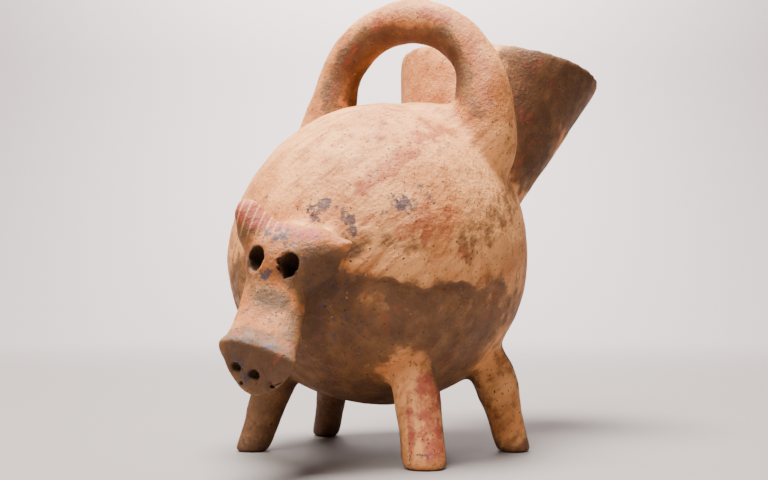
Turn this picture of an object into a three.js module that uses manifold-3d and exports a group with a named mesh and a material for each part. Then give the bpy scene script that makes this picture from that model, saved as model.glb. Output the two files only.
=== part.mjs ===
// Pig-shaped vessel of fired clay, hand built: a hollow round body on four coil legs,
// a pinched and rolled head, a basket handle set crosswise and a funnel spout at the rear.
// Millimetres. z is up from the floor, -y is where the pig looks, +x is the pig's left side.

import * as THREE from "three";
import { mergeVertices } from "three/addons/utils/BufferGeometryUtils.js";
import Module from "manifold-3d";

// Body: a hollow egg, a little longer than wide
const bodyHalfWidth = 44.5;
const bodyHalfLength = 52;
const bodyRise = 48.5;
const bodyDrop = 44.5;
const bellyHeight = 14.2;
const bodyFullness = 2.05;
const bodyLeanLeft = 0.06;
const bodyWall = 5;
const bodyCentre = new THREE.Vector3(0, 0, bellyHeight + bodyDrop);

// Legs: rolled coils, thick where they are smeared on to the belly
const legRootBury = 7;
const legRootTaper = 0.6;
const legSwellEnd = 0.3;
const legFootStart = 0.75;
const soleRounding = 1.6;
const soleBends = [0.35, 0.7, 1];
const legs = [
  { footX: 29.4, footY: -26.2, rootHeight: 31, rootRadius: 7.2, footRadius: 6.4 },
  { footX: -34.0, footY: -20.2, rootHeight: 31, rootRadius: 7.2, footRadius: 5.5 },
  { footX: 36.2, footY: 19.3, rootHeight: 35, rootRadius: 7.8, footRadius: 5.5 },
  { footX: -36.0, footY: 24.2, rootHeight: 33, rootRadius: 6.8, footRadius: 4.9 },
];

// Handle: one thick coil bent into an arch across the back
const handleHalfSpan = 25.6;
const handleRise = 25.5;
const handleFootHeight = 108.4;
const handleRadius = 6.9;
const handleRootRadius = 10.5;
const handleX = 8;
const handleY = 2.5;
const handleTurn = 5;
const handleLean = 3;
const rightRoot = { spread: 4, depth: 20 };
const leftRoot = { spread: 0.5, depth: 34 };
const rightSmearEnd = 0.22;
const leftSmearStart = 0.62;
const leftSmearEnd = 0.84;
const buriedTaper = 0.5;

// Saddle: the clay smeared up between the two roots of the handle
const saddleHalfSpan = 27;
const saddleHalfDepth = 13;
const saddleHalfHeight = 9;
const saddleTop = 108;

// Spout: an open funnel that leans back and to the pig's left
const spoutWall = 4.2;
const spoutRimRadius = 37;
const spoutRimCentre = new THREE.Vector3(11.5, 66.7, 129.6);
const spoutRimTiltBack = 7;
const spoutRimTiltLeft = 6;
const spoutNeckRadius = 20.2;
const spoutNeckCentre = new THREE.Vector3(8, 42, 81.2);
const spoutRootRadius = 15;
const spoutRootCentre = new THREE.Vector3(6, 27, 58);

// Head: a skull, a snout with a flat nose disc, two pinched ears and a thick short neck.
// Its own axes are l to the pig's left, f forward and u up, from the point between the eyes.
const headPlace = new THREE.Vector3(6.4, -66.5, 56.2);
const headTurn = 15;
const headRoll = 15;
const skullHalfWidth = 10.4;
const skullHalfHeight = 12;
const skullDepth = 10.5;
const skullDrop = 1;
const neckRadius = 12;
const neckRootRadius = 20;
const neckStartTaper = 0.8;
const neckFullFrom = 0.45;
const neckLine = [{ l: 0, back: 0, u: -4 }, { l: 0, back: 8, u: -5 }, { l: -1, back: 20, u: -5 }];
const rightEar = { l: -15.6, f: -8, u: 13, rootRadius: 7.2, tipRadius: 4.2 };
const leftEar = { l: 18, f: -8.5, u: 9.6, rootRadius: 9.4, tipRadius: 2.4 };
const leftEarFlap = { l: 14.8, f: -9, u: 0, rootRadius: 8, tipRadius: 4.4 };
const earStart = { l: 2, f: -9.5, u: -1 };
const earBend = { l: 7, f: -10, u: 3.5 };
const earMiddleTaper = 0.82;
const earTipStart = 0.84;
const earTipBend = 0.94;
const earTipTaper = 0.8;
const earEndTaper = 0.3;
const eyes = [{ l: -4.9, u: -0.9 }, { l: 4.3, u: -0.3 }];
const eyeForward = -2.5;
const eyeHalfWidth = 2.3;
const eyeHalfHeight = 3.3;
const eyeDepth = 6.5;
const nostrilRadius = 1.45;
const nostrilDepth = 3.2;
const mouthRadius = 1.1;

// Fineness of the faces
const bodySides = 44;
const bodyBands = 28;
const hollowSides = 30;
const hollowBands = 18;
const coilSides = 18;
const funnelSides = 36;
const funnelSteps = 8;
const legSides = 16;
const legSteps = 9;
const handleBends = 8;
const handleSteps = 36;
const neckSteps = 8;
const skullSides = 24;
const skullBands = 15;
const earSides = 12;
const earSteps = 9;
const holeSides = 10;
const holeBands = 8;
const mergeDistance = 0.0001;

const toRadians = Math.PI / 180;
const wasm = await Module();
wasm.setup();

function solidOf(geometry) {
  const bare = geometry.clone();
  bare.deleteAttribute("normal");
  bare.deleteAttribute("uv");
  const merged = mergeVertices(bare, mergeDistance);
  const mesh = new wasm.Mesh({
    numProp: 3,
    vertProperties: new Float32Array(merged.attributes.position.array),
    triVerts: new Uint32Array(merged.index.array),
  });
  return new wasm.Manifold(mesh);
}

function geometryOf(solid) {
  const mesh = solid.getMesh();
  const geometry = new THREE.BufferGeometry();
  geometry.setAttribute("position", new THREE.BufferAttribute(new Float32Array(mesh.vertProperties), 3));
  geometry.setIndex(new THREE.BufferAttribute(new Uint32Array(mesh.triVerts), 1));
  return geometry;
}

function signedVolume(points, faces) {
  let volume = 0;
  for (let i = 0; i < faces.length; i += 3) {
    const [a, b, c] = [points[faces[i]], points[faces[i + 1]], points[faces[i + 2]]];
    volume += a.dot(b.clone().cross(c)) / 6;
  }
  return volume;
}

// A closed skin over a row of rings that have the same number of points, with a flat cap at each end
function skin(rings) {
  const sides = rings[0].length;
  const points = rings.flat();
  const faces = [];
  for (let ring = 0; ring + 1 < rings.length; ring += 1) {
    for (let side = 0; side < sides; side += 1) {
      const next = (side + 1) % sides;
      const [a, b] = [ring * sides + side, ring * sides + next];
      faces.push(a, b, b + sides, a, b + sides, a + sides);
    }
  }
  for (const [first, turned] of [[0, true], [(rings.length - 1) * sides, false]]) {
    const middle = new THREE.Vector3();
    for (let side = 0; side < sides; side += 1) middle.addScaledVector(points[first + side], 1 / sides);
    const centre = points.push(middle) - 1;
    for (let side = 0; side < sides; side += 1) {
      const [a, b] = [first + side, first + ((side + 1) % sides)];
      faces.push(...(turned ? [centre, b, a] : [centre, a, b]));
    }
  }
  if (signedVolume(points, faces) < 0) faces.reverse();
  const geometry = new THREE.BufferGeometry().setFromPoints(points);
  geometry.setIndex(faces);
  return geometry;
}

// A value that passes smoothly through stops of the form [where, value]
function along(stops, where) {
  const last = stops.length - 1;
  if (where <= stops[0][0]) return stops[0][1];
  if (where >= stops[last][0]) return stops[last][1];
  const after = stops.findIndex((stop) => stop[0] > where);
  const [low, high] = [stops[after - 1], stops[after]];
  const share = THREE.MathUtils.smoothstep(where, low[0], high[0]);
  return THREE.MathUtils.lerp(low[1], high[1], share);
}

// A rolled coil of clay along a bent line, with a thickness that changes along it
function coil(path, thickness, steps, sides = coilSides) {
  const curve = new THREE.CatmullRomCurve3(path, false, "centripetal");
  const frames = curve.computeFrenetFrames(steps, false);
  const rings = [];
  for (let step = 0; step <= steps; step += 1) {
    const share = step / steps;
    const centre = curve.getPointAt(share);
    const radius = along(thickness, share);
    rings.push(roundRing(centre, frames.normals[step], frames.binormals[step], radius, radius, sides));
  }
  return skin(rings);
}

function roundRing(centre, across, up, halfAcross, halfUp, sides) {
  const ring = [];
  for (let side = 0; side < sides; side += 1) {
    const angle = (side / sides) * 2 * Math.PI;
    const point = centre.clone().addScaledVector(across, Math.cos(angle) * halfAcross);
    ring.push(point.addScaledVector(up, Math.sin(angle) * halfUp));
  }
  return ring;
}

// An egg whose sides are a little fuller than a ball's above its middle
function egg(halfWidth, halfLength, rise, drop, centre, sides, bands) {
  const geometry = new THREE.SphereGeometry(1, sides, bands);
  geometry.rotateX(Math.PI / 2);
  const place = geometry.attributes.position;
  for (let i = 0; i < place.count; i += 1) {
    const z = place.getZ(i);
    const round = Math.sqrt(Math.max(0, 1 - z * z));
    const full = z > 0 ? Math.pow(Math.max(0, 1 - Math.pow(z, bodyFullness)), 1 / bodyFullness) : round;
    const swell = round > mergeDistance ? full / round : 0;
    const height = z * (z > 0 ? rise : drop);
    const lean = Math.max(0, height) * bodyLeanLeft;
    place.setXYZ(i, place.getX(i) * halfWidth * swell + lean, place.getY(i) * halfLength * swell, height);
  }
  geometry.translate(centre.x, centre.y, centre.z);
  return geometry;
}

function makeBody() {
  return egg(bodyHalfWidth, bodyHalfLength, bodyRise, bodyDrop, bodyCentre, bodySides, bodyBands);
}

function makeHollow() {
  const [width, length] = [bodyHalfWidth - bodyWall, bodyHalfLength - bodyWall];
  const [rise, drop] = [bodyRise - bodyWall, bodyDrop - bodyWall];
  return egg(width, length, rise, drop, bodyCentre, hollowSides, hollowBands);
}

// How far the belly's surface lies from the middle at a height, as a share of its widest
function bellyShare(height) {
  const fall = (bodyCentre.z - height) / bodyDrop;
  return Math.sqrt(1 - fall * fall);
}

// A leg starts inside the belly wall, swells where it is smeared on and ends in a flat sole
function makeLeg(leg) {
  const angle = Math.atan2(leg.footY / bodyHalfLength, leg.footX / bodyHalfWidth);
  const reach = bellyShare(leg.rootHeight);
  const root = new THREE.Vector3(
    Math.cos(angle) * (bodyHalfWidth * reach - legRootBury),
    Math.sin(angle) * (bodyHalfLength * reach - legRootBury),
    leg.rootHeight,
  );
  const foot = new THREE.Vector3(leg.footX, leg.footY, 0);
  const thickness = [
    [0, leg.rootRadius * legRootTaper],
    [legSwellEnd, leg.rootRadius],
    [legFootStart, leg.footRadius],
  ];
  const across = new THREE.Vector3(1, 0, 0);
  const back = new THREE.Vector3(0, 1, 0);
  const rings = [];
  for (let step = 0; step < legSteps; step += 1) {
    const share = step / legSteps;
    const radius = along(thickness, share);
    rings.push(roundRing(root.clone().lerp(foot, share), across, back, radius, radius, legSides));
  }
  for (const bend of soleBends) {
    const radius = leg.footRadius - soleRounding * (1 - Math.cos(bend * Math.PI / 2));
    const height = soleRounding * (1 - Math.sin(bend * Math.PI / 2));
    rings.push(roundRing(foot.clone().setZ(height), across, back, radius, radius, legSides));
  }
  return skin(rings);
}

function makeHandle() {
  const path = [new THREE.Vector3(-handleHalfSpan - rightRoot.spread, 0, -rightRoot.depth)];
  for (let bend = 0; bend <= handleBends; bend += 1) {
    const angle = Math.PI * (1 - bend / handleBends);
    path.push(new THREE.Vector3(Math.cos(angle) * handleHalfSpan, 0, Math.sin(angle) * handleRise));
  }
  path.push(new THREE.Vector3(handleHalfSpan + leftRoot.spread, 0, -leftRoot.depth));
  const thickness = [
    [0, handleRootRadius],
    [rightSmearEnd, handleRadius],
    [leftSmearStart, handleRadius],
    [leftSmearEnd, handleRootRadius],
    [1, handleRootRadius * buriedTaper],
  ];
  const geometry = coil(path, thickness, handleSteps);
  geometry.rotateY(handleLean * toRadians);
  geometry.rotateZ(handleTurn * toRadians);
  geometry.translate(handleX, handleY, handleFootHeight);
  return geometry;
}

function makeSaddle() {
  const geometry = new THREE.SphereGeometry(1, legSides, coilSides);
  geometry.scale(saddleHalfSpan, saddleHalfDepth, saddleHalfHeight);
  geometry.rotateZ(handleTurn * toRadians);
  geometry.translate(handleX, handleY, saddleTop - saddleHalfHeight);
  return geometry;
}

// A value that runs straight from the spout's root through its neck to its rim, by height
function byHeight(atRoot, atNeck, atRim, height) {
  const [root, neck, rim] = [spoutRootCentre.z, spoutNeckCentre.z, spoutRimCentre.z];
  if (height < neck) return THREE.MathUtils.mapLinear(height, root, neck, atRoot, atNeck);
  return THREE.MathUtils.mapLinear(height, neck, rim, atNeck, atRim);
}

// The funnel's skin, inset by a wall and drawn past its rim by a reach
function makeFunnel(inset, reach) {
  const path = new THREE.CatmullRomCurve3([spoutRootCentre, spoutNeckCentre, spoutRimCentre], false, "centripetal");
  const rings = [];
  const addRing = (centre, share) => {
    const tiltBack = -spoutRimTiltBack * share * toRadians;
    const turn = new THREE.Euler(tiltBack, spoutRimTiltLeft * share * toRadians, 0);
    const across = new THREE.Vector3(1, 0, 0).applyEuler(turn);
    const back = new THREE.Vector3(0, 1, 0).applyEuler(turn);
    const radius = byHeight(spoutRootRadius, spoutNeckRadius, spoutRimRadius, centre.z) - inset;
    rings.push(roundRing(centre, across, back, radius, radius, funnelSides));
  };
  for (let step = 0; step <= funnelSteps; step += 1) {
    addRing(path.getPoint(step / funnelSteps), step / funnelSteps);
  }
  if (reach > 0) addRing(path.getPoint(1).addScaledVector(path.getTangent(1), reach), 1);
  return skin(rings);
}

const headFrame = new THREE.Matrix4();
headFrame.makeRotationZ(headTurn * toRadians);
headFrame.multiply(new THREE.Matrix4().makeRotationY(headRoll * toRadians));
headFrame.setPosition(headPlace);

// A point of the head, given to the left, forward and up of the point between the eyes
function headPoint(l, f, u) {
  return new THREE.Vector3(l, -f, u).applyMatrix4(headFrame);
}

function makeSkull() {
  const geometry = new THREE.SphereGeometry(1, skullSides, skullBands);
  geometry.scale(skullHalfWidth, skullDepth, skullHalfHeight);
  geometry.translate(0, skullDepth, -skullDrop);
  geometry.applyMatrix4(headFrame);
  return geometry;
}

function makeNeck() {
  const path = neckLine.map((bend) => headPoint(bend.l, -skullDepth - bend.back, bend.u));
  const thickness = [[0, neckRadius * neckStartTaper], [neckFullFrom, neckRadius], [1, neckRootRadius]];
  return coil(path, thickness, neckSteps);
}

// An ear is pinched out of the skull's upper side and drawn to a blunt or sharp tip. The left
// one has a second, blunt lobe under its tip, which makes it a broad flap
function makeEar(ear) {
  const side = Math.sign(ear.l);
  const path = [
    headPoint(side * earStart.l, earStart.f, earStart.u),
    headPoint(side * earBend.l, earBend.f, earBend.u),
    headPoint(ear.l, ear.f, ear.u),
  ];
  const thickness = [
    [0, ear.rootRadius],
    [0.5, ear.rootRadius * earMiddleTaper],
    [earTipStart, ear.tipRadius],
    [earTipBend, ear.tipRadius * earTipTaper],
    [1, ear.tipRadius * earEndTaper],
  ];
  return coil(path, thickness, earSteps, earSides);
}

// Snout sections from the skull to the nose: place, slope of the section, half width, half height
// above and below, and how much wider it is at the top
const snoutSections = [
  { l: 0, f: -9, u: -3, slope: 70, half: 8.8, over: 8, under: 8, flare: 0 },
  { l: 1.2, f: -6, u: -9, slope: 64, half: 8.9, over: 6.6, under: 8, flare: 0 },
  { l: 2.8, f: -3, u: -14.5, slope: 56, half: 9, over: 6, under: 8, flare: 0.1 },
  { l: 4.4, f: 1, u: -19.5, slope: 42, half: 9.2, over: 6, under: 7.6, flare: 0.25 },
  { l: 5.4, f: 5, u: -24, slope: 28, half: 8.8, over: 6.4, under: 7.6, flare: 0.5 },
  { l: 6, f: 8, u: -26.8, slope: 22, half: 8.8, over: 7.4, under: 7.8, flare: 0.8 },
  { l: 6, f: 8.8, u: -27.1, slope: 21, half: 8.4, over: 6.9, under: 7.2, flare: 0.8 },
];
const snoutSides = 20;
const snoutSquareness = 0.7;
const chinFlareShare = 0.4;

// A section with a squared top edge and a round chin
function snoutRing(section) {
  const ring = [];
  const slope = section.slope * toRadians;
  for (let side = 0; side < snoutSides; side += 1) {
    const angle = (side / snoutSides) * 2 * Math.PI;
    const [across, rise] = [Math.cos(angle), Math.sin(angle)];
    const square = 1 + (snoutSquareness - 1) * Math.min(1, section.flare) * (rise > 0 ? 1 : 0);
    const flare = 1 + section.flare * rise * (rise > 0 ? 1 : chinFlareShare);
    const l = Math.sign(across) * Math.pow(Math.abs(across), square) * section.half * flare;
    const up = Math.sign(rise) * Math.pow(Math.abs(rise), square) * (rise > 0 ? section.over : section.under);
    ring.push(headPoint(section.l + l, section.f + up * Math.sin(slope), section.u + up * Math.cos(slope)));
  }
  return ring;
}

function makeSnout() {
  return skin(snoutSections.map(snoutRing));
}

function makeHole(l, f, u, halfWidth, halfHeight, depth, aim) {
  const geometry = new THREE.SphereGeometry(1, holeSides, holeBands);
  geometry.scale(halfWidth, depth, halfHeight);
  geometry.rotateX(aim * toRadians);
  geometry.translate(l, -f, u);
  geometry.applyMatrix4(headFrame);
  return geometry;
}

// Nostrils and mouth are given across and up from the middle of the nose disc
const noseFace = snoutSections[snoutSections.length - 1];
const nostrils = [{ across: -4.9, up: -0.9 }, { across: 0.1, up: -1.3 }];
const mouth = { across: 4.4, up: -2.4 };

function makeNoseHole(hole, radius, depth) {
  const slope = noseFace.slope * toRadians;
  const [f, u] = [noseFace.f + hole.up * Math.sin(slope), noseFace.u + hole.up * Math.cos(slope)];
  return makeHole(noseFace.l + hole.across, f, u, radius, radius, depth, noseFace.slope);
}

let clay = solidOf(makeBody());
for (const leg of legs) clay = clay.add(solidOf(makeLeg(leg)));
clay = clay.add(solidOf(makeHandle()));
clay = clay.add(solidOf(makeSaddle()));
clay = clay.add(solidOf(makeFunnel(0, 0)));
clay = clay.add(solidOf(makeNeck()));
clay = clay.add(solidOf(makeSkull()));
clay = clay.add(solidOf(makeSnout()));
for (const ear of [rightEar, leftEar, leftEarFlap]) clay = clay.add(solidOf(makeEar(ear)));
clay = clay.subtract(solidOf(makeHollow()));
clay = clay.subtract(solidOf(makeFunnel(spoutWall, spoutWall)));
for (const eye of eyes) {
  const socket = makeHole(eye.l, eyeForward, eye.u, eyeHalfWidth, eyeHalfHeight, eyeDepth, 0);
  clay = clay.subtract(solidOf(socket));
}
for (const nostril of nostrils) clay = clay.subtract(solidOf(makeNoseHole(nostril, nostrilRadius, nostrilDepth)));
clay = clay.subtract(solidOf(makeNoseHole(mouth, mouthRadius, nostrilDepth)));

const material = new THREE.MeshStandardMaterial({ color: 0xd0a078, roughness: 0.8, metalness: 0 });
const vessel = new THREE.Mesh(geometryOf(clay), material);
vessel.name = "pig_vessel";

// The origin is on the floor below the middle of the vessel's box
const group = new THREE.Group();
group.add(vessel);
const box = new THREE.Box3().setFromObject(group);
const middle = box.getCenter(new THREE.Vector3());
group.position.set(-middle.x, -middle.y, -box.min.z);

export default group;
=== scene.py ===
# %% [markdown]
# A pig-shaped vessel of fired clay. The potter closed a round hollow body, luted four
# rolled legs, a pinched head, a thick basket handle and an open funnel spout to it,
# smeared the joins with wet fingers, brushed on a pale slip with red-brown strokes and
# fired it all as one piece. So it is one piece here too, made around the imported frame.

# %% Load the frame
import math

import bpy
import numpy as np
from mathutils import Matrix, Vector


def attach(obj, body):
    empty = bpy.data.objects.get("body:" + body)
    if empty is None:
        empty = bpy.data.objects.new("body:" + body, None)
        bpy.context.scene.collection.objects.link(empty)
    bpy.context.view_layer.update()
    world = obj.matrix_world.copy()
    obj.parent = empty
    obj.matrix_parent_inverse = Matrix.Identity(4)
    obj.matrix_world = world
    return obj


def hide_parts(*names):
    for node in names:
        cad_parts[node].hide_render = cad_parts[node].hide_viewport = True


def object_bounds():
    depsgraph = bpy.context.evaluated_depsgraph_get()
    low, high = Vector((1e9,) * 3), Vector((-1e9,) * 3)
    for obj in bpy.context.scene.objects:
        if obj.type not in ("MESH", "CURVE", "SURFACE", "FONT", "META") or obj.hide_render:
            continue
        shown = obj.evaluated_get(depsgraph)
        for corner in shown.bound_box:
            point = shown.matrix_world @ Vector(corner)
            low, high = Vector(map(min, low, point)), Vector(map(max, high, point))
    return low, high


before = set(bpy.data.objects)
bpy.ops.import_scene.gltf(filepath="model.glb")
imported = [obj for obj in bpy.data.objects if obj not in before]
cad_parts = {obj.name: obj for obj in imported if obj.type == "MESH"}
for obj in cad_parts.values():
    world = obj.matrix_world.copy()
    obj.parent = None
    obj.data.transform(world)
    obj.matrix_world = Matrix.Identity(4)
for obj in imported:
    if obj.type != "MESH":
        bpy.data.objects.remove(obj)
CAD_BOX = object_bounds()
NODE = "pig_vessel"
MM = 0.001
print("frame box in mm:", [[round(value / MM, 1) for value in corner] for corner in CAD_BOX])

# %% [markdown]
# The camera comes first. The photograph was taken from close by with a normal lens, a
# little below the pig's eyes, from 30 degrees to its left side. The numbers were fitted
# to the four feet and the round body, so they stay as they are.

# %% Camera
CAMERA_AZIMUTH = 30.0
CAMERA_DISTANCE = 333.0
CAMERA_HEIGHT = 44.2
CAMERA_SIDEWAYS = 1.1
CAMERA_PITCH = 3.6
LENS_MM = 50.0
SENSOR_MM = 36.0
PHOTO_WIDTH = 768
PHOTO_HEIGHT = 480
BODY_AXIS = Vector((-1.9, -12.07, 0.0))
TURN = math.radians(CAMERA_AZIMUTH)
AHEAD = Vector((-math.sin(TURN), math.cos(TURN), 0.0))
RIGHT = Vector((math.cos(TURN), math.sin(TURN), 0.0))
UP = Vector((0.0, 0.0, 1.0))


def add_camera():
    place = BODY_AXIS - AHEAD * CAMERA_DISTANCE + RIGHT * CAMERA_SIDEWAYS + UP * CAMERA_HEIGHT
    tilt = math.radians(90.0 + CAMERA_PITCH)
    bpy.ops.object.camera_add(location=place * MM, rotation=(tilt, 0.0, TURN))
    camera = bpy.context.object
    camera.name = "photo_camera"
    camera.data.lens = LENS_MM
    camera.data.sensor_width = SENSOR_MM
    camera.data.clip_start = 0.01
    camera.data.clip_end = 20.0
    bpy.context.scene.camera = camera
    bpy.context.view_layer.update()
    return camera


camera = add_camera()
print("camera at", [round(value / MM) for value in camera.location], "mm")

# %% [markdown]
# A plain pale sheet is floor and backdrop in one: it lies flat under the vessel and
# curves up far behind it, so no horizon shows. In the photograph the light falls from
# above and from high in front of the pig: the shoulders are bright, the knee of the
# front leg still catches it and the belly is dark. So there are two soft lamps there, a
# third for the backdrop, a grey sheet that throws little light back and a dim room.

# %% Floor and lights
SHEET_WIDTH = 5.0
SHEET_FRONT = 2.5
BEND_START = 1.1
BEND_RADIUS = 0.5
BEND_STEPS = 12
WALL_RISE = 1.2


def srgb(text):
    """A hex colour as Blender's linear red, green, blue and alpha."""
    values = [int(text[i:i + 2], 16) / 255.0 for i in (0, 2, 4)]
    linear = [v / 12.92 if v <= 0.04045 else ((v + 0.055) / 1.055) ** 2.4 for v in values]
    return (*linear, 1.0)


def deselect_all():
    bpy.ops.object.select_all(action="DESELECT")


def add_backdrop_sheet():
    """A flat sheet whose far edge is extruded along a quarter circle and then straight up."""
    deselect_all()
    length = SHEET_FRONT + BEND_START
    middle = AHEAD * (BEND_START - length / 2)
    bpy.ops.mesh.primitive_plane_add(size=1.0, location=middle, rotation=(0.0, 0.0, TURN))
    sheet = bpy.context.object
    sheet.name = "studio_sheet"
    sheet.scale = (SHEET_WIDTH, length, 1.0)
    bpy.ops.object.transform_apply(location=True, rotation=True, scale=True)
    for vertex in sheet.data.vertices:
        vertex.select = vertex.co.dot(AHEAD) > BEND_START - 0.01
    for edge in sheet.data.edges:
        edge.select = all(sheet.data.vertices[i].select for i in edge.vertices)
    for face in sheet.data.polygons:
        face.select = False
    bpy.ops.object.mode_set(mode="EDIT")
    bpy.ops.mesh.select_mode(type="EDGE")
    for step in range(BEND_STEPS):
        low, high = (math.pi / 2 * share / BEND_STEPS for share in (step, step + 1))
        move = AHEAD * BEND_RADIUS * (math.sin(high) - math.sin(low))
        move += UP * BEND_RADIUS * (math.cos(low) - math.cos(high))
        bpy.ops.mesh.extrude_region_move(TRANSFORM_OT_translate={"value": move})
    bpy.ops.mesh.extrude_region_move(TRANSFORM_OT_translate={"value": UP * WALL_RISE})
    bpy.ops.object.mode_set(mode="OBJECT")
    deselect_all()
    sheet.select_set(True)
    bpy.ops.object.shade_smooth()
    material = bpy.data.materials.new("matte_studio_paper")
    material.use_nodes = True
    shader = material.node_tree.nodes["Principled BSDF"]
    shader.inputs["Base Color"].default_value = srgb("8F8987")
    shader.inputs["Roughness"].default_value = 0.7
    sheet.data.materials.append(material)
    return sheet


def add_lamp(name, place, aim, size, power, tint):
    deselect_all()
    bpy.ops.object.light_add(type="AREA", location=place)
    lamp = bpy.context.object
    lamp.name = name
    lamp.data.shape = "DISK"
    lamp.data.size = size
    lamp.data.energy = power
    lamp.data.color = srgb(tint)[:3]
    lamp.rotation_euler = (Vector(aim) - Vector(place)).to_track_quat("-Z", "Y").to_euler()
    return lamp


sheet = add_backdrop_sheet()
VESSEL_MIDDLE = (0.0, 0.0, 0.06)
add_lamp("soft_top_lamp", (-0.03, -0.10, 0.80), VESSEL_MIDDLE, 0.4, 29.0, "FFF8F2")
add_lamp("soft_front_lamp", (0.05, -0.58, 0.75), VESSEL_MIDDLE, 0.4, 7.0, "FFF8F2")
add_lamp("backdrop_lamp", AHEAD * 1.0 + UP * 1.2, AHEAD * 1.8 + UP * 0.5, 0.8, 135.0, "FFF8F8")
world = bpy.data.worlds.new("pale_room")
world.use_nodes = True
world.node_tree.nodes["Background"].inputs["Color"].default_value = srgb("E4DEDC")
world.node_tree.nodes["Background"].inputs["Strength"].default_value = 0.05
bpy.context.scene.world = world
print("sheet and lamps placed")

# %% [markdown]
# The vessel's form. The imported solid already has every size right, but it is made of
# flat faces. A copy of it is merged, subdivided so that the flats turn round, and
# rebuilt from small even faces. That is the moment where separate coils become one
# skin. The whole skin is smoothed a little, and much more where wet fingers smeared a
# coil on: at the roots of the handle, the legs and the ears, at the neck and the spout.

# %% The clay skin
SKIN_VOXEL = 0.7
SMOOTH_ROUNDS = 5
SMEAR_ROUNDS = 60
# place of the smear from the body's axis, and its radius
SMEARS = {
    "handle_left_root": ((34.0, 5.0, 100.0), 17.0),
    "handle_right_root": ((-20.0, 0.0, 101.0), 12.0),
    "handle_left_inner": ((22.0, 3.0, 107.0), 9.0),
    "neck_top": ((3.0, -50.0, 66.0), 14.0),
    "neck_left": ((20.0, -48.0, 52.0), 14.0),
    "neck_right": ((-8.0, -52.0, 50.0), 12.0),
    "spout_front": ((8.0, 27.0, 103.0), 13.0),
    "front_left_leg": ((26.0, -25.0, 22.0), 13.0),
    "front_right_leg": ((-28.0, -19.0, 22.0), 12.0),
    "rear_left_leg": ((32.0, 18.0, 26.0), 13.0),
    "rear_right_leg": ((-31.0, 21.0, 24.0), 12.0),
}


def use_modifier(piece, kind, **settings):
    """Adds a modifier with its settings and applies it."""
    modifier = piece.modifiers.new(kind.lower(), kind)
    for key, value in settings.items():
        setattr(modifier, key, value)
    deselect_all()
    piece.select_set(True)
    bpy.context.view_layer.objects.active = piece
    bpy.ops.object.modifier_apply(modifier=modifier.name)


def points_of(piece):
    """The places of a piece's vertices in mm from the body's axis."""
    points = np.empty(len(piece.data.vertices) * 3)
    piece.data.vertices.foreach_get("co", points)
    return points.reshape(-1, 3) / MM - np.array(BODY_AXIS)


def add_weights(piece, name, weights):
    """A vertex group with one weight for each vertex, in steps of a twentieth."""
    group = piece.vertex_groups.new(name=name)
    steps = np.round(weights * 20).astype(int)
    for step in range(1, 21):
        group.add(np.flatnonzero(steps == step).tolist(), step / 20, "REPLACE")
    return group


def make_skin():
    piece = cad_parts[NODE].copy()
    piece.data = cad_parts[NODE].data.copy()
    piece.name = "clay_vessel"
    piece.data.name = "clay_vessel"
    bpy.context.scene.collection.objects.link(piece)
    piece.parent = None
    piece.matrix_world = Matrix.Identity(4)
    piece.data.materials.clear()
    use_modifier(piece, "WELD", merge_threshold=0.01 * MM)
    use_modifier(piece, "SUBSURF", levels=2, render_levels=2)
    use_modifier(piece, "REMESH", mode="VOXEL", voxel_size=SKIN_VOXEL * MM)
    use_modifier(piece, "SMOOTH", factor=0.5, iterations=SMOOTH_ROUNDS)
    points = points_of(piece)
    weights = np.zeros(len(points))
    for place, radius in SMEARS.values():
        distance = np.linalg.norm(points - np.array(place), axis=1)
        weights = np.maximum(weights, np.clip(1.6 * (1.0 - distance / radius), 0.0, 1.0))
    add_weights(piece, "smears", weights)
    use_modifier(piece, "SMOOTH", factor=0.5, iterations=SMEAR_ROUNDS, vertex_group="smears")
    return piece


vessel = make_skin()
print("clay skin:", len(vessel.data.polygons), "faces")

# %% [markdown]
# Hand-made clay is never quite even. Broad swellings come from the pinching fingers and
# smaller dents from scraping the leather-hard clay. Soles stay flat. On the left side of
# the belly the scraper left a ledge: the clay under it lies a little deeper, most at the
# ledge itself, and the step runs out further down. Only the outer skin is sunk.

# %% Unevenness of the hand
SOLE_HEIGHT = 4.0
# name, width of the swellings and height of the swellings
SWELLINGS = (("finger_swellings", 17.0, 0.9), ("scraping_dents", 5.0, 0.32), ("grit_lumps", 2.2, 0.14))
SWELLING_MIDDLE = 0.55
# the ledge where the scraped slip ends, as pixels of the photograph from left to right
LEDGE_LINE = ((336, 278), (350, 273), (368, 273), (392, 278), (418, 284), (452, 280), (480, 284), (508, 288))
# depth of the step, height of its edge, how far down it runs out and how far in from its two ends
LEDGE_DEPTH = 1.7
LEDGE_EDGE = 1.3
LEDGE_REACH = 19.0
LEDGE_FADE = 14.0
# how far the ledge wanders up and down, and over what length
LEDGE_WAVES = ((0.6, 17.0), (0.35, 7.3), (0.15, 3.1))
# where the neck begins, along the vessel from the body's axis
NECK_BACK = -50.0
NECK_FADE = 6.0


def add_unevenness(piece):
    heights = points_of(piece)[:, 2]
    add_weights(piece, "above_soles", np.clip((heights - SOLE_HEIGHT) / SOLE_HEIGHT, 0.0, 1.0))
    for name, width, height in SWELLINGS:
        texture = bpy.data.textures.new(name, "CLOUDS")
        texture.noise_scale = width * MM
        texture.noise_depth = 1
        use_modifier(piece, "DISPLACE", texture=texture, texture_coords="LOCAL", mid_level=SWELLING_MIDDLE,
                     strength=height * MM, vertex_group="above_soles")
        bpy.data.textures.remove(texture)


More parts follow.
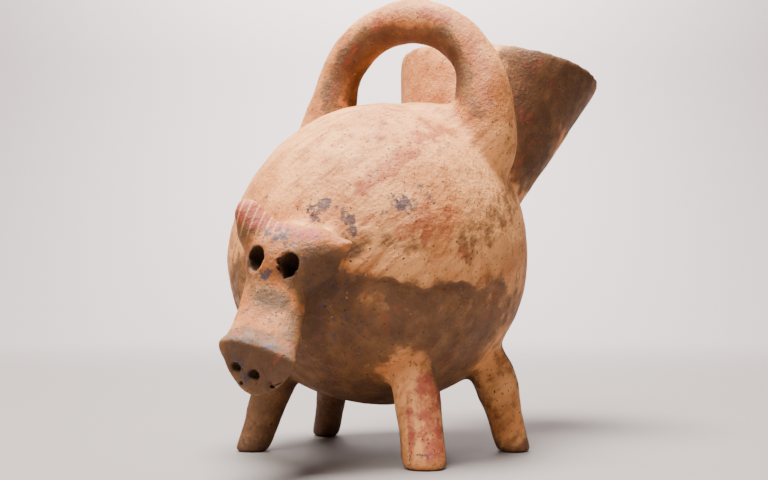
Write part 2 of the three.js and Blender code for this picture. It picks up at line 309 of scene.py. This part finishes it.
def surface_point(piece, pixel):
    """The place on the clay that a pixel of the photograph shows, in mm from the body's axis."""
    across = (pixel[0] - PHOTO_WIDTH / 2) / PHOTO_WIDTH * SENSOR_MM / LENS_MM
    rise = (PHOTO_HEIGHT / 2 - pixel[1]) / PHOTO_WIDTH * SENSOR_MM / LENS_MM
    direction = camera.matrix_world.to_3x3() @ Vector((across, rise, -1.0))
    hit, place, _, _ = piece.ray_cast(camera.matrix_world.translation, direction.normalized())
    if not hit:
        return None
    return np.array(place) / MM - np.array(BODY_AXIS)


def behind_head(points):
    """1 on the body, falling to 0 on the neck and the head."""
    return np.clip((points[:, 1] - NECK_BACK) / NECK_FADE, 0.0, 1.0)


def on_outside(piece, points):
    """True where the skin looks away from the body's axis, so not in the hollow."""
    normals = np.empty(len(points) * 3)
    piece.data.vertex_normals.foreach_get("vector", normals)
    normals = normals.reshape(-1, 3)
    return normals[:, 0] * points[:, 0] + normals[:, 1] * points[:, 1] > 0.0


def under_ledge(piece, points):
    """1 just below the ledge where the slip ends, running out to 0 lower down, and 0 above it."""
    across, height = points @ np.array(RIGHT), points[:, 2]
    bends = [surface_point(piece, pixel) for pixel in LEDGE_LINE]
    ledge = np.interp(across, [bend @ np.array(RIGHT) for bend in bends], [bend[2] for bend in bends])
    for size, length in LEDGE_WAVES:
        ledge += size * np.sin(across * 2.0 * math.pi / length)
    drop = (ledge - height) / LEDGE_EDGE
    weights = np.clip(drop, 0.0, 1.0) * np.clip(1.0 - drop * LEDGE_EDGE / LEDGE_REACH, 0.0, 1.0)
    ends = np.minimum(across - bends[0] @ np.array(RIGHT), bends[-1] @ np.array(RIGHT) - across)
    weights *= np.clip(ends / LEDGE_FADE, 0.0, 1.0) * (points @ np.array(AHEAD) < 0.0) * behind_head(points)
    return weights * on_outside(piece, points)


def add_scraped_ledge(piece):
    """Sinks the belly a little under the ledge."""
    bpy.context.view_layer.update()
    add_weights(piece, "under_ledge", under_ledge(piece, points_of(piece)))
    use_modifier(piece, "DISPLACE", mid_level=0.0, strength=-LEDGE_DEPTH * MM, vertex_group="under_ledge")


add_unevenness(vessel)
add_scraped_ledge(vessel)
print("unevenness and ledge added")

# %% [markdown]
# Eyes, nostrils and mouth were pushed and cut into the leather-hard clay, so their rims
# are crisp. They are cut here after the smoothing. The eyes are drops with the point
# down. Places are given in the head's own axes: to the pig's left, forward and up.

# %% Eyes, nostrils and mouth
HEAD_PLACE = Vector((6.4, -66.5, 56.2))
HEAD_TURN = 15.0
HEAD_ROLL = 15.0
NOSE_FACE = {"left": 6.0, "forward": 8.8, "up": -27.1, "slope": 21.0}
DROP_TAPER = 0.75
# where the face lies along an eye cutter, as a share of its half depth
EYE_MOUTH = -0.25
# left, forward, up, half width, depth, half height, roll
EYES = {
    "right_eye": (-4.9, -2.5, -0.7, 2.95, 6.8, 3.3, -8.0),
    "left_eye": (4.3, -2.5, -0.4, 2.75, 6.8, 3.6, 4.0),
    "left_eye_chip": (2.0, -1.0, 0.3, 1.0, 1.3, 1.1, 20.0),
    "left_eye_nick": (2.3, -1.0, -1.6, 0.7, 1.1, 0.6, 0.0),
}
# across and up from the middle of the nose, half width, depth, half height, roll
NOSE_CUTS = {
    "right_nostril": (-4.9, -0.8, 1.45, 3.4, 1.3, 0.0),
    "left_nostril": (0.1, -1.5, 1.6, 3.6, 1.25, 10.0),
    "small_pit": (-2.9, -4.4, 0.55, 1.3, 0.6, 0.0),
    "mouth_hole": (5.3, -3.0, 0.9, 2.2, 0.5, -28.0),
    "mouth_line": (6.8, -1.6, 3.8, 0.5, 0.18, -38.0),
}


def head_frame():
    frame_of_head = Matrix.Translation((BODY_AXIS + HEAD_PLACE) * MM)
    frame_of_head @= Matrix.Rotation(math.radians(HEAD_TURN), 4, "Z")
    return frame_of_head @ Matrix.Rotation(math.radians(HEAD_ROLL), 4, "Y")


def add_cutter(name, place, tilt, roll, half_sizes, taper):
    """A ball shaped to its half sizes, narrowed towards its lower end by a taper."""
    deselect_all()
    bpy.ops.mesh.primitive_uv_sphere_add(segments=32, ring_count=20, radius=1.0)
    cutter = bpy.context.object
    cutter.name = name
    for vertex in cutter.data.vertices:
        if vertex.co.z < 0.0:
            vertex.co.x *= 1.0 + taper * vertex.co.z
    left, forward, up = place
    cutter.matrix_world = (
        head_frame()
        @ Matrix.Translation(Vector((left, -forward, up)) * MM)
        @ Matrix.Rotation(math.radians(tilt), 4, "X")
        @ Matrix.Rotation(math.radians(roll), 4, "Y")
        @ Matrix.Diagonal((*(value * MM for value in half_sizes), 1.0))
    )
    return cutter


def cut_face(piece):
    """Cuts the face and returns each cutter's place and where its dark begins."""
    cutters = []
    for name, (left, forward, up, wide, deep, high, roll) in EYES.items():
        cutters.append(add_cutter(name, (left, forward, up), 0.0, roll, (wide, deep, high), DROP_TAPER))
    slope = math.radians(NOSE_FACE["slope"])
    for name, (across, rise, wide, deep, high, roll) in NOSE_CUTS.items():
        place = (
            NOSE_FACE["left"] + across,
            NOSE_FACE["forward"] + rise * math.sin(slope),
            NOSE_FACE["up"] + rise * math.cos(slope),
        )
        cutters.append(add_cutter(name, place, NOSE_FACE["slope"], roll, (wide, deep, high), 0.0))
    burrows = []
    for cutter in cutters:
        mouth_of_burrow = EYE_MOUTH if cutter.name in EYES else 0.0
        burrows.append((cutter.matrix_world.copy(), mouth_of_burrow))
        use_modifier(piece, "BOOLEAN", object=cutter, operation="DIFFERENCE", solver="EXACT")
        bpy.data.objects.remove(cutter)
    return burrows


burrows = cut_face(vessel)
print("face cut:", len(vessel.data.polygons), "faces")

# %% [markdown]
# The skin is thinned to fewer faces, least at the head, which is in focus and has the
# finest forms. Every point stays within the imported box, so the vessel keeps its sizes.

# %% Finish the form
MAX_TRIANGLES = 190000
# how far from the head the skin keeps its detail, the least thinning there and its share
HEAD_REACH = 28.0
LEAST_THINNING = 0.25
DETAIL_SHARE = 2.0


def keep_in_box(piece, box):
    """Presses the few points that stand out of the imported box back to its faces."""
    places = np.empty(len(piece.data.vertices) * 3)
    piece.data.vertices.foreach_get("co", places)
    places = np.clip(places.reshape(-1, 3), np.array(box[0]), np.array(box[1]))
    piece.data.vertices.foreach_set("co", places.ravel())
    piece.data.update()


def finish_skin(piece):
    triangles = sum(len(face.vertices) - 2 for face in piece.data.polygons)
    if triangles > MAX_TRIANGLES:
        from_head = np.linalg.norm(points_of(piece) - np.array(HEAD_PLACE), axis=1)
        add_weights(piece, "away_from_head", np.clip(from_head / HEAD_REACH - 1.0, LEAST_THINNING, 1.0))
        use_modifier(piece, "DECIMATE", decimate_type="COLLAPSE", ratio=MAX_TRIANGLES / triangles,
                     vertex_group="away_from_head", vertex_group_factor=DETAIL_SHARE)
    keep_in_box(piece, CAD_BOX)
    piece.vertex_groups.clear()
    deselect_all()
    piece.select_set(True)
    bpy.context.view_layer.objects.active = piece
    bpy.ops.object.shade_smooth()


finish_skin(vessel)
print("finished skin:", len(vessel.data.polygons), "faces")

# %% [markdown]
# Where the colours lie. Strokes and patches are read off the photograph as pixels, and a
# ray through each pixel finds its place on the clay. Each mark is a capsule around the
# line between two such places, with a soft edge. The marks are kept as attributes of
# the skin: the red-brown strokes, the pinkish red, the striped ear, the dark mineral
# specks, the scraped band, the warmer slip, painted shade deep in the holes, and how far
# the pale slip gives way to brown clay and to painted shade. The painted shade is most on
# the belly, under the ledge, on the nose disc, on the neck under the ear, inside the
# handle and on the spout.

# %% Paint places
# where a mark ends, in shares of its radius, and the least squared length of its line
MARK_SPREAD = 1.5
SHORTEST_MARK = 0.01
# start and end pixel in the photograph, radius in mm and strength
RED_STROKES = (
    ((362, 188), (398, 160), 3.2, 0.8), ((392, 168), (442, 128), 3.6, 0.8), ((350, 112), (352, 145), 1.8, 0.5),
    ((385, 115), (378, 140), 2.0, 0.5), ((425, 120), (408, 150), 3.0, 0.7), ((328, 128), (318, 150), 1.8, 0.5),
    ((430, 236), (452, 214), 4.2, 0.7), ((402, 232), (425, 214), 3.4, 0.8), ((382, 222), (404, 214), 2.6, 0.7),
    ((425, 262), (470, 250), 2.2, 0.5), ((392, 292), (398, 310), 2.4, 0.4), ((486, 312), (496, 288), 3.0, 0.4),
    ((300, 170), (318, 150), 2.6, 0.4), ((268, 200), (280, 182), 3.0, 0.4), ((408, 330), (414, 350), 2.4, 0.4),
    ((455, 215), (440, 226), 3.0, 0.6), ((372, 218), (362, 222), 2.2, 0.6), ((430, 300), (445, 285), 2.5, 0.4),
    ((345, 75), (352, 48), 2.0, 0.5), ((372, 26), (396, 14), 2.6, 0.7), ((420, 10), (446, 20), 2.6, 0.7),
    ((470, 45), (482, 70), 3.4, 0.6), ((486, 85), (486, 108), 2.6, 0.6), ((330, 98), (336, 84), 1.6, 0.5),
    ((525, 60), (538, 90), 4.5, 0.3), ((540, 70), (560, 100), 5.0, 0.35), ((528, 110), (545, 140), 5.0, 0.3),
    ((380, 295), (386, 330), 1.8, 0.5), ((366, 300), (370, 335), 1.5, 0.45),
    ((404, 390), (410, 455), 2.6, 0.5), ((276, 262), (286, 270), 1.8, 0.5), ((250, 300), (256, 330), 2.0, 0.4),
)
PINK_PATCHES = (
    ((240, 208), (262, 216), 4.2, 1.0), ((262, 216), (284, 226), 2.8, 0.9), ((292, 228), (314, 236), 2.8, 0.8),
    ((300, 240), (306, 250), 2.0, 0.5), ((236, 334), (290, 346), 1.6, 0.5), ((296, 310), (298, 340), 1.4, 0.4),
    ((424, 380), (434, 458), 4.0, 0.72), ((408, 392), (412, 455), 1.4, 0.7), ((270, 292), (286, 300), 2.0, 0.3),
    ((436, 392), (440, 455), 2.6, 0.7), ((528, 60), (560, 110), 7.0, 0.4), ((520, 110), (540, 150), 5.0, 0.4),
)
# the painted ear, where thin pale stripes cross the pinkish red
STRIPED_EAR = (((236, 210), (266, 220), 5.0, 1.0),)
DARK_PATCHES = (
    ((314, 212), (326, 204), 2.8, 1.25), ((346, 214), (352, 232), 1.8, 1.2), ((398, 200), (408, 205), 2.6, 1.25),
    ((383, 212), (384, 213), 1.2, 0.9), ((428, 192), (430, 198), 1.8, 0.7), ((264, 230), (272, 236), 1.5, 1.1),
    ((280, 230), (290, 242), 2.0, 1.1), ((260, 276), (270, 273), 1.2, 1.0), ((245, 340), (250, 344), 1.2, 1.0),
    ((268, 347), (274, 348), 1.0, 1.0), ((230, 340), (236, 348), 1.6, 0.6), ((236, 362), (242, 368), 2.4, 0.7),
    ((244, 380), (246, 384), 1.4, 0.9), ((312, 285), (330, 278), 3.0, 0.6), ((322, 300), (330, 330), 4.0, 0.45),
    ((340, 290), (352, 330), 5.0, 0.4), ((440, 300), (470, 290), 5.0, 0.25), ((243, 310), (246, 312), 1.2, 0.6),
    ((248, 332), (250, 334), 1.2, 0.5), ((466, 98), (478, 104), 2.6, 0.5), ((352, 98), (356, 104), 1.6, 0.4),
    ((408, 458), (438, 462), 2.6, 0.6), ((246, 440), (262, 446), 2.4, 0.5), ((346, 186), (352, 182), 1.4, 0.5),
    ((420, 190), (424, 186), 1.4, 0.6), ((270, 240), (300, 246), 5.0, 0.5), ((262, 225), (280, 262), 4.0, 0.4),
)
# worn patches where the brown clay shows, and painted shade: on the neck under the ear, on the nose disc, inside the
# handle, on the spout and along the ledge
BARE_AND_SHADED_PATCHES = (
    ((330, 262), (352, 250), 3.0, 0.6), ((318, 268), (340, 300), 6.0, 0.7), ((345, 283), (500, 287), 3.6, 0.6),
    ((264, 296), (280, 302), 2.4, 1.4), ((272, 318), (285, 322), 2.4, 0.3), ((548, 70), (582, 92), 14.0, 1.0),
    ((318, 268), (306, 326), 5.0, 1.3), ((354, 98), (364, 72), 3.5, 1.2), ((332, 270), (326, 290), 4.0, 1.2),
    ((530, 110), (536, 150), 12.0, 1.1), ((330, 90), (350, 60), 4.0, 0.6), ((372, 44), (440, 46), 5.0, 1.1),
    ((440, 44), (458, 80), 5.0, 1.1), ((352, 62), (372, 44), 5.0, 1.1), ((322, 254), (342, 258), 3.0, 0.5),
    ((240, 350), (270, 385), 6.0, 0.6), ((262, 150), (250, 200), 5.0, 0.45), ((240, 225), (236, 290), 6.0, 0.5),
    ((262, 250), (300, 262), 5.0, 0.35), ((458, 80), (478, 110), 3.0, 0.4), ((336, 80), (330, 108), 3.0, 0.5),
    ((238, 352), (276, 366), 6.0, 1.15), ((246, 366), (262, 384), 6.0, 1.1), ((306, 268), (312, 320), 6.0, 0.9),
    ((300, 320), (292, 356), 4.0, 0.6), ((316, 262), (330, 262), 4.0, 0.6), ((244, 284), (262, 288), 2.0, 0.3),
    ((250, 262), (262, 300), 4.0, 0.4), ((345, 236), (420, 244), 3.0, 0.35), ((470, 240), (510, 200), 6.0, 0.3),
)
SCRAPED_BAND = (
    ((345, 245), (440, 235), 11.0, 1.0), ((440, 235), (520, 240), 11.0, 1.0), ((340, 268), (500, 272), 6.0, 1.0),
)
# thinner slip with a stronger orange, on the head, the handle and the spout's inside
WARM_PATCHES = (
    ((240, 240), (300, 262), 13.0, 1.0), ((258, 262), (276, 335), 13.0, 1.1), ((310, 240), (345, 246), 8.0, 1.1),
    ((326, 110), (352, 50), 9.0, 0.8), ((352, 50), (400, 14), 9.0, 0.7), ((400, 14), (450, 30), 9.0, 0.7),
    ((450, 30), (488, 100), 9.0, 0.9), ((408, 78), (422, 96), 16.0, 0.7), ((232, 215), (246, 300), 14.0, 0.7),
)
# the knee and shin of the front left leg, which catch the light, and the rear left leg: here the painted shade and
# the bare clay are left off, so the slip shows
UNSHADED_LEG_PATCHES = (((404, 376), (424, 455), 8.0, 1.0), ((496, 345), (508, 420), 10.0, 0.75))
# painted shade on the belly: it begins at the first height below and is full at the second
BELLY_TOP = 56.0
BELLY_BOTTOM = 38.0
BELLY_SHADE = 0.8
LEDGE_BARE_AND_SHADE = 0.95
# the reach of a hole across and inwards as shares of its cutter, and how fast it darkens
HOLE_WIDTH = 1.1
HOLE_DEPTH = 1.15
HOLE_DARKENING = 2.5


def mark_strength(piece, points, marks):
    """How strongly the marks colour each point: the strongest capsule around it counts."""
    strength = np.zeros(len(points))
    for first, last, radius, power in marks:
        start, end = surface_point(piece, first), surface_point(piece, last)
        if start is None or end is None:
            print("no clay under pixel", first, "or", last)
            continue
        line = end - start
        share = np.clip((points - start) @ line / max(line @ line, SHORTEST_MARK), 0.0, 1.0)
        distance = np.linalg.norm(points - start - share[:, None] * line, axis=1)
        strength = np.maximum(strength, power * np.clip(MARK_SPREAD - distance / radius, 0.0, 1.0))
    return strength


def add_attribute(piece, name, values):
    attribute = piece.data.attributes.new(name, "FLOAT", "POINT")
    attribute.data.foreach_set("value", values.astype(np.float32))


def hole_shade_strength(points, burrows):
    """How deep each point lies in an eye, a nostril or the mouth, where the shade is painted dark."""
    strength = np.zeros(len(points))
    places = (points + np.array(BODY_AXIS)) * MM
    for matrix, mouth_of_burrow in burrows:
        turn = np.array(matrix.inverted())
        inside = places @ turn[:3, :3].T + turn[:3, 3]
        across = np.hypot(inside[:, 0], inside[:, 2])
        depth = np.clip((inside[:, 1] - mouth_of_burrow) * HOLE_DARKENING, 0.0, 1.0)
        in_hole = (across < HOLE_WIDTH) & (inside[:, 1] < HOLE_DEPTH)
        strength = np.maximum(strength, np.where(in_hole, depth, 0.0))
    return strength


def mark_clay(piece):
    bpy.context.view_layer.update()
    points = points_of(piece)
    add_attribute(piece, "red_strokes", mark_strength(piece, points, RED_STROKES))
    add_attribute(piece, "pink_slip", mark_strength(piece, points, PINK_PATCHES))
    add_attribute(piece, "striped_ear", mark_strength(piece, points, STRIPED_EAR))
    add_attribute(piece, "dark_specks", mark_strength(piece, points, DARK_PATCHES))
    add_attribute(piece, "scraped", mark_strength(piece, points, SCRAPED_BAND))
    # painted shade, darker the deeper a point lies in a hole
    add_attribute(piece, "shade_in_holes", hole_shade_strength(points, burrows))
    add_attribute(piece, "warm_slip", mark_strength(piece, points, WARM_PATCHES))
    # painted shade: darker towards the bottom of the belly, as in the body's own shadow; the neck and head are left
    # out
    fall = np.clip((BELLY_TOP - points[:, 2]) / (BELLY_TOP - BELLY_BOTTOM), 0.0, 1.0) * behind_head(points)
    bare_and_shade = np.maximum(fall * BELLY_SHADE, mark_strength(piece, points, BARE_AND_SHADED_PATCHES))
    # painted shadow under the ledge, where the slip also ends
    bare_and_shade = np.maximum(bare_and_shade, under_ledge(piece, points) * LEDGE_BARE_AND_SHADE)
    # the painted shade is left off the lit front left leg and the rear left leg
    bare_and_shade *= 1.0 - mark_strength(piece, points, UNSHADED_LEG_PATCHES)
    add_attribute(piece, "bare_clay_and_shade", bare_and_shade)


mark_clay(vessel)
print("marked:", [attribute.name for attribute in vessel.data.attributes if attribute.data_type == "FLOAT"])

# %% [markdown]
# The surface is low-fired earthenware under a thin slip. The slip was brushed on, so it
# thins in streaks about 2 mm wide that follow the brush, and it has worn off where the
# vessel was held. The brown clay shows there, with pits of burnt-out grit. The same brown
# and darker colours are also painted shade: on the belly, under the ledge, on the nose
# disc, on the neck under the ear, inside the handle and on the spout. Red-brown
# strokes lie on top, broken by wear, and bluish-black mineral specks last of all.

# %% Slipped earthenware
BRUSH_DIRECTION = RIGHT * 0.72 + UP * 0.70
BRUSH_STRETCH = 0.86
SCRAPE_DIRECTION = RIGHT * 0.93 + UP * 0.37
SCRAPE_STRETCH = 0.8
STRIPE_DIRECTION = RIGHT * 0.95 - UP * 0.32
STRIPE_SPACING = 2.1
# widths of the patterns in mm
BROAD_WIDTH = 16.0
BLOTCH_WIDTH = 7.0
PATCH_WIDTH = 4.5
RIDGE_WIDTH = 3.2
HAIR_WIDTH = 2.4
SPECK_WIDTH = 1.9
GRAIN_WIDTH = 1.1
FINE_HAIR_WIDTH = 0.9
PIT_WIDTH = 0.8
RELIEF_MM = 0.5
LEAST_ROUGHNESS = 0.55
GLANCE = 0.35
CREAM_SLIP = "EAA262"
BUFF_SLIP = "CE8448"
THIN_SLIP = "A05F30"
ORANGE_SLIP = "A45C28"
# the clay colours also paint the shade wherever the slip gives way to painted shade
BROWN_CLAY_AND_SHADE = "6E4A2E"
OCHRE_CLAY_AND_SHADE = "865C34"
DARK_CLAY_AND_SHADE = "432C1C"
RED_BROWN = "9A4628"
PINK_RED = "A2443A"
SPECK_BLACK = "3A3A48"
PIT_BROWN = "4A3424"
# painted shade deep in the holes
HOLE_SHADE = "523A26"
CHALK = "E6BC90"


def add_node(tree, kind, inputs, output=0, **settings):
    """Adds a shader node, sets its options, links or sets its inputs and returns an output."""
    node = tree.nodes.new("ShaderNode" + kind)
    for key, value in settings.items():
        setattr(node, key, value)
    for key, value in inputs.items():
        if isinstance(value, bpy.types.NodeSocket):
            tree.links.new(value, node.inputs[key])
        else:
            node.inputs[key].default_value = value
    return node.outputs[output]


def mix(tree, share, low, high):
    return add_node(tree, "Mix", {0: share, 6: low, 7: high}, output=2, data_type="RGBA")


def math_node(tree, operation, first, second):
    return add_node(tree, "Math", {0: first, 1: second}, operation=operation)


def rise_between(tree, value, low, high, top=1.0):
    """A soft step of a value: 0 below low, and top above high."""
    inputs = {"Value": value, "From Min": low, "From Max": high, "To Max": top}
    return add_node(tree, "MapRange", inputs, interpolation_type="SMOOTHSTEP")


def noise(tree, place, width, detail=3.0, roughness=0.5):
    """Noise whose patches are about the width in mm."""
    return add_node(tree, "TexNoise", {"Vector": place, "Scale": 1.0 / width, "Detail": detail,
                                       "Roughness": roughness})


def stretched(tree, place, direction, share):
    """The place with its part along a direction made shorter, which draws patterns out along it."""
    ahead = add_node(tree, "VectorMath", {0: place, 1: direction}, output="Value", operation="DOT_PRODUCT")
    reach = math_node(tree, "MULTIPLY", ahead, share)
    along = add_node(tree, "VectorMath", {0: direction, "Scale": reach}, operation="SCALE")
    return add_node(tree, "VectorMath", {0: place, 1: along}, operation="SUBTRACT")


def marks(tree, name):
    return add_node(tree, "Attribute", {}, output="Fac", attribute_name=name)


def make_slipped_earthenware():
    material = bpy.data.materials.new("slipped_earthenware")
    material.use_nodes = True
    tree = material.node_tree
    shader = tree.nodes["Principled BSDF"]
    place = add_node(tree, "TexCoord", {}, output="Object")
    place = add_node(tree, "VectorMath", {0: place, "Scale": 1.0 / MM}, operation="SCALE")
    brush = stretched(tree, place, BRUSH_DIRECTION, BRUSH_STRETCH)
    scrape = stretched(tree, place, SCRAPE_DIRECTION, SCRAPE_STRETCH)
    broad = noise(tree, place, BROAD_WIDTH)
    patchy = noise(tree, place, PATCH_WIDTH, detail=5.0, roughness=0.62)
    grain = noise(tree, place, GRAIN_WIDTH, detail=4.0, roughness=0.6)
    hairs = noise(tree, brush, HAIR_WIDTH, detail=4.0, roughness=0.6)
    fine_hairs = noise(tree, brush, FINE_HAIR_WIDTH, detail=2.0)
    blotches = noise(tree, place, BLOTCH_WIDTH, detail=4.0, roughness=0.6)

    # slip, thin in streaks and patches, and the clay where it has gone; the same clay colours paint the shade on the
    # belly and in the other shaded places
    colour = mix(tree, rise_between(tree, broad, 0.42, 0.66), srgb(CREAM_SLIP), srgb(BUFF_SLIP))
    colour = mix(tree, rise_between(tree, hairs, 0.46, 0.72, 0.7), colour, srgb(THIN_SLIP))
    colour = mix(tree, rise_between(tree, patchy, 0.52, 0.72, 0.6), colour, srgb(THIN_SLIP))
    warm = math_node(tree, "ADD", marks(tree, "warm_slip"), math_node(tree, "MULTIPLY", patchy, 1.0))
    colour = mix(tree, rise_between(tree, warm, 0.5, 1.6, 0.85), colour, srgb(ORANGE_SLIP))
    bare_and_shade = math_node(tree, "ADD", marks(tree, "bare_clay_and_shade"), math_node(tree, "MULTIPLY", patchy, 0.9))
    bare_and_shade = math_node(tree, "ADD", bare_and_shade, math_node(tree, "MULTIPLY", hairs, 0.4))
    clay = mix(tree, rise_between(tree, blotches, 0.38, 0.7), srgb(BROWN_CLAY_AND_SHADE), srgb(OCHRE_CLAY_AND_SHADE))
    colour = mix(tree, rise_between(tree, bare_and_shade, 0.76, 1.2), colour, clay)
    # the darkest clay and the darkest painted shade turn dark brown
    dark = math_node(tree, "ADD", marks(tree, "bare_clay_and_shade"), math_node(tree, "MULTIPLY", patchy, 1.3))
    colour = mix(tree, rise_between(tree, dark, 1.2, 1.9, 0.6), colour, srgb(DARK_CLAY_AND_SHADE))

    # painted strokes, broken where they are worn, and the striped ear
    worn = math_node(tree, "ADD", marks(tree, "red_strokes"), math_node(tree, "MULTIPLY", hairs, 1.3))
    worn = math_node(tree, "ADD", worn, math_node(tree, "MULTIPLY", patchy, 0.5))
    colour = mix(tree, rise_between(tree, worn, 1.25, 1.75, 0.72), colour, srgb(RED_BROWN))
    stray = math_node(tree, "MULTIPLY", rise_between(tree, hairs, 0.58, 0.72), rise_between(tree, broad, 0.46, 0.6))
    colour = mix(tree, math_node(tree, "MULTIPLY", stray, 0.55), colour, srgb(RED_BROWN))
    pink = math_node(tree, "ADD", marks(tree, "pink_slip"), math_node(tree, "MULTIPLY", patchy, 1.2))
    pink = math_node(tree, "ADD", pink, math_node(tree, "MULTIPLY", grain, 0.6))
    pink = rise_between(tree, pink, 1.35, 1.7, 0.8)
    across = add_node(tree, "VectorMath", {0: place, 1: STRIPE_DIRECTION}, output="Value", operation="DOT_PRODUCT")
    wave = math_node(tree, "SINE", math_node(tree, "MULTIPLY", across, 2.0 * math.pi / STRIPE_SPACING), 0.0)
    stripes = math_node(tree, "MULTIPLY", rise_between(tree, wave, 0.6, 0.9, 0.6), marks(tree, "striped_ear"))
    pink = math_node(tree, "MULTIPLY", pink, math_node(tree, "SUBTRACT", 1.0, stripes))
    colour = mix(tree, pink, colour, srgb(PINK_RED))
    colour = mix(tree, stripes, colour, srgb(CREAM_SLIP))

    # chalky chips, dark specks, pits and the painted shade deep in the holes
    chips = math_node(tree, "SUBTRACT", grain, math_node(tree, "MULTIPLY", marks(tree, "bare_clay_and_shade"), 0.06))
    colour = mix(tree, rise_between(tree, chips, 0.6, 0.7, 0.3), colour, srgb(CHALK))
    specks = noise(tree, place, SPECK_WIDTH, detail=4.0, roughness=0.65)
    specks = math_node(tree, "ADD", specks, math_node(tree, "MULTIPLY", marks(tree, "dark_specks"), 0.22))
    colour = mix(tree, rise_between(tree, specks, 0.62, 0.78, 0.85), colour, srgb(SPECK_BLACK))
    pits = rise_between(tree, noise(tree, place, PIT_WIDTH, detail=2.0), 0.66, 0.72)
    colour = mix(tree, pits, colour, srgb(PIT_BROWN))
    # painted shade inside the eyes, nostrils and mouth
    colour = mix(tree, marks(tree, "shade_in_holes"), colour, srgb(HOLE_SHADE))
    tree.links.new(colour, shader.inputs["Base Color"])

    # a dull surface with fine relief
    roughness = rise_between(tree, patchy, 0.3, 0.7, 0.2)
    tree.links.new(math_node(tree, "ADD", roughness, LEAST_ROUGHNESS), shader.inputs["Roughness"])
    shader.inputs["Specular IOR Level"].default_value = GLANCE
    height = math_node(tree, "ADD", math_node(tree, "MULTIPLY", grain, 0.8), math_node(tree, "MULTIPLY", hairs, 0.25))
    height = math_node(tree, "ADD", height, math_node(tree, "MULTIPLY", fine_hairs, 0.12))
    height = math_node(tree, "SUBTRACT", height, math_node(tree, "MULTIPLY", pits, 0.6))
    ridges = noise(tree, scrape, RIDGE_WIDTH, detail=3.0, roughness=0.55)
    ridges = math_node(tree, "MULTIPLY", ridges, marks(tree, "scraped"))
    height = math_node(tree, "ADD", height, math_node(tree, "MULTIPLY", ridges, 1.6))
    relief = {"Height": height, "Strength": 1.0, "Distance": RELIEF_MM * MM}
    bump = add_node(tree, "Bump", relief, output="Normal")
    tree.links.new(bump, shader.inputs["Normal"])
    return material


vessel.data.materials.append(make_slipped_earthenware())
print("material:", vessel.data.materials[0].name)

# %% [markdown]
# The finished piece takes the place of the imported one. Nothing on the vessel moves by
# itself, so it rides on the root body.

# %% Join the piece to the frame
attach(vessel, "root")
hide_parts(NODE)
